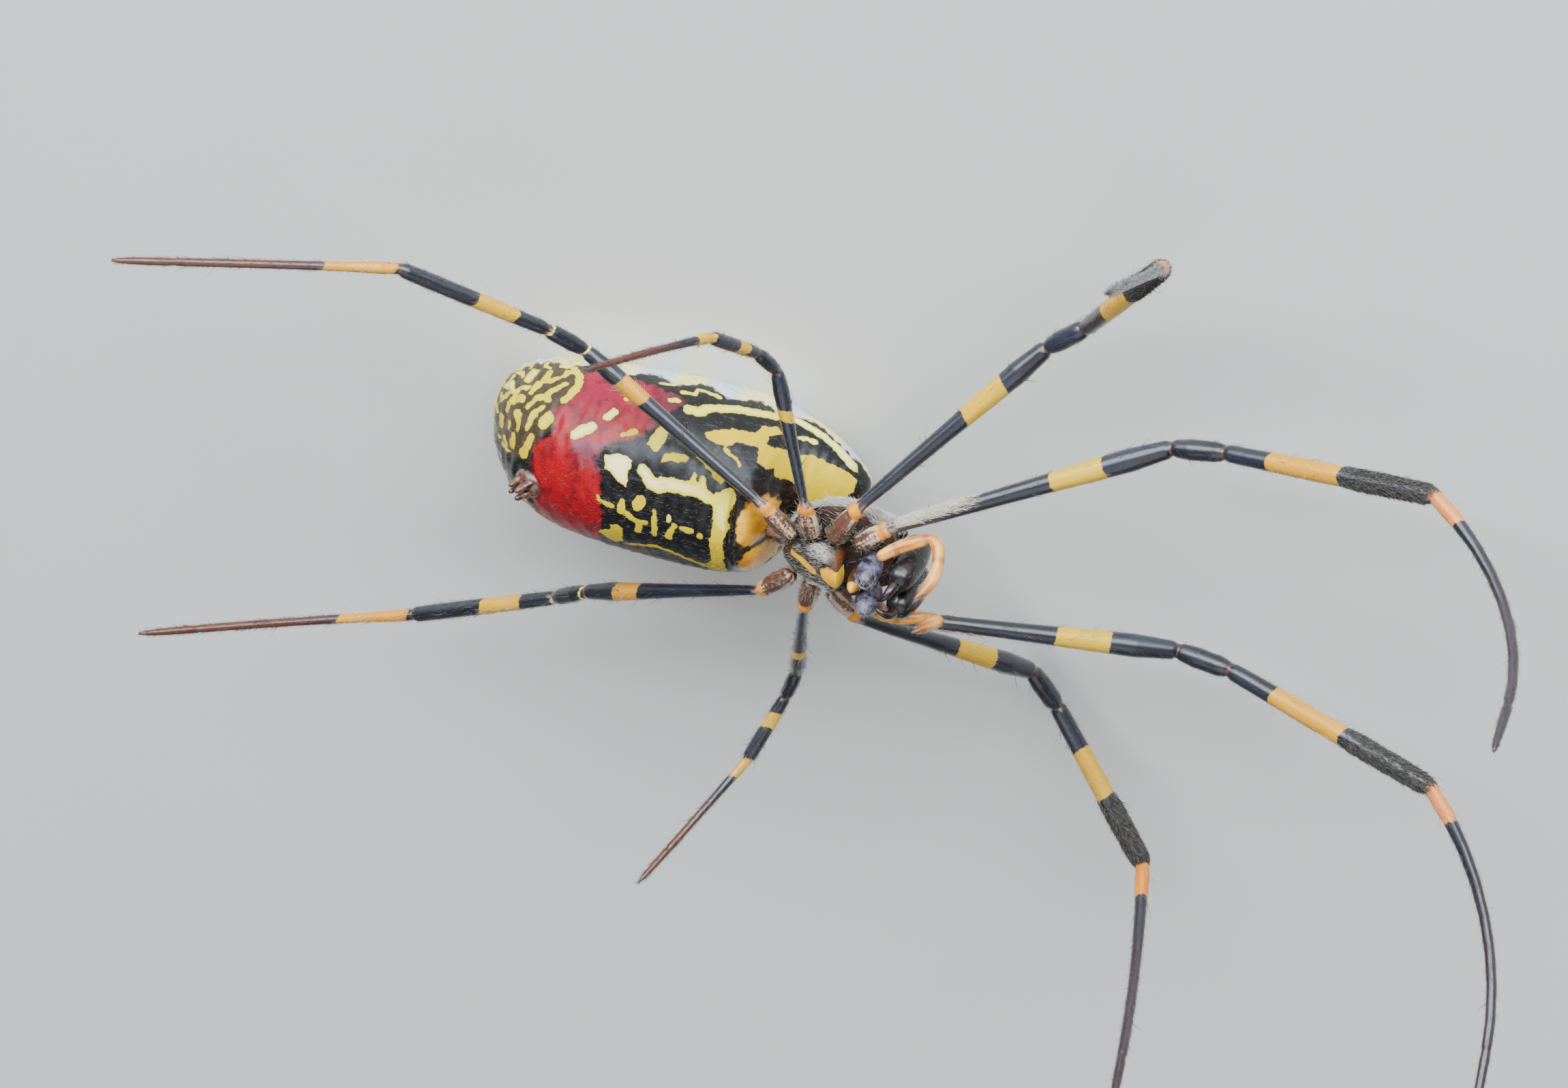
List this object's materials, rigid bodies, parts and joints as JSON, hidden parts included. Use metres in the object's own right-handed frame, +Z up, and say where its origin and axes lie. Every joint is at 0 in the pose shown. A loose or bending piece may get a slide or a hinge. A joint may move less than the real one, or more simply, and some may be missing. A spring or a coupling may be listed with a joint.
{
  "type": "golden silk orb weaver spider, adult female, on its back",
  "caption": "Life-size still model of a golden silk orb weaver lying on its back: long patterned abdomen, haired head and thorax, raised banded legs.",
  "frame": {"origin": "on the flat of the abdomen's back that rests on the floor, in the middle plane of the body, 6 mm behind the waist", "axes": "+X towards the head, +Y towards the spider's own right side, +Z up, out of its belly"},
  "size_m": [0.0767, 0.0564, 0.0237],
  "materials": {
    "abdomen_skin": "satin yellow skin with charcoal bands and a crimson rear",
    "black_cuticle": "glossy black with yellow and orange bands",
    "brown_cuticle": "brown under pale hairs",
    "haired_shield": "brown covered with silver hairs",
    "orange_cuticle": "orange with cream highlights and fine hairs",
    "eye": "polished black"
  },
  "bodies": {
    "root": {"abdomen": "abdomen_skin", "spinnerets": "brown_cuticle", "pedicel": "brown_cuticle", "carapace": "haired_shield", "sternum": "haired_shield", "labium": "brown_cuticle", "maxilla_right": "brown_cuticle", "maxilla_left": "brown_cuticle", "chelicera_right": "black_cuticle", "chelicera_left": "black_cuticle", "fang_right": "black_cuticle", "fang_left": "black_cuticle", "palp_right_femur": "orange_cuticle", "palp_right_tarsus": "orange_cuticle", "palp_left_femur": "orange_cuticle", "palp_left_tarsus": "orange_cuticle", "eye_front_median_right": "eye", "eye_front_median_left": "eye", "eye_rear_median_right": "eye", "eye_rear_median_left": "eye", "eye_front_lateral_right": "eye", "eye_front_lateral_left": "eye", "eye_rear_lateral_right": "eye", "eye_rear_lateral_left": "eye", "leg_right_1_coxa": "brown_cuticle", "leg_right_1_femur": "black_cuticle", "leg_right_1_tibia": "black_cuticle", "leg_right_1_metatarsus": "black_cuticle", "leg_right_2_coxa": "brown_cuticle", "leg_right_2_femur": "black_cuticle", "leg_right_2_tibia": "black_cuticle", "leg_right_2_metatarsus": "black_cuticle", "leg_right_3_coxa": "brown_cuticle", "leg_right_3_femur": "black_cuticle", "leg_right_3_tibia": "black_cuticle", "leg_right_3_metatarsus": "black_cuticle", "leg_right_4_coxa": "brown_cuticle", "leg_right_4_femur": "black_cuticle", "leg_right_4_tibia": "black_cuticle", "leg_right_4_metatarsus": "black_cuticle", "leg_left_1_coxa": "brown_cuticle", "leg_left_1_femur": "black_cuticle", "leg_left_1_tibia": "black_cuticle", "leg_left_1_metatarsus": "black_cuticle", "leg_left_2_coxa": "brown_cuticle", "leg_left_2_femur": "black_cuticle", "leg_left_2_tibia": "black_cuticle", "leg_left_2_metatarsus": "black_cuticle", "leg_left_3_coxa": "brown_cuticle", "leg_left_3_femur": "black_cuticle", "leg_left_3_tibia": "black_cuticle", "leg_left_3_metatarsus": "black_cuticle", "leg_left_4_coxa": "brown_cuticle", "leg_left_4_femur": "black_cuticle", "leg_left_4_tibia": "black_cuticle", "leg_left_4_metatarsus": "black_cuticle"}
  },
  "joints": []
}
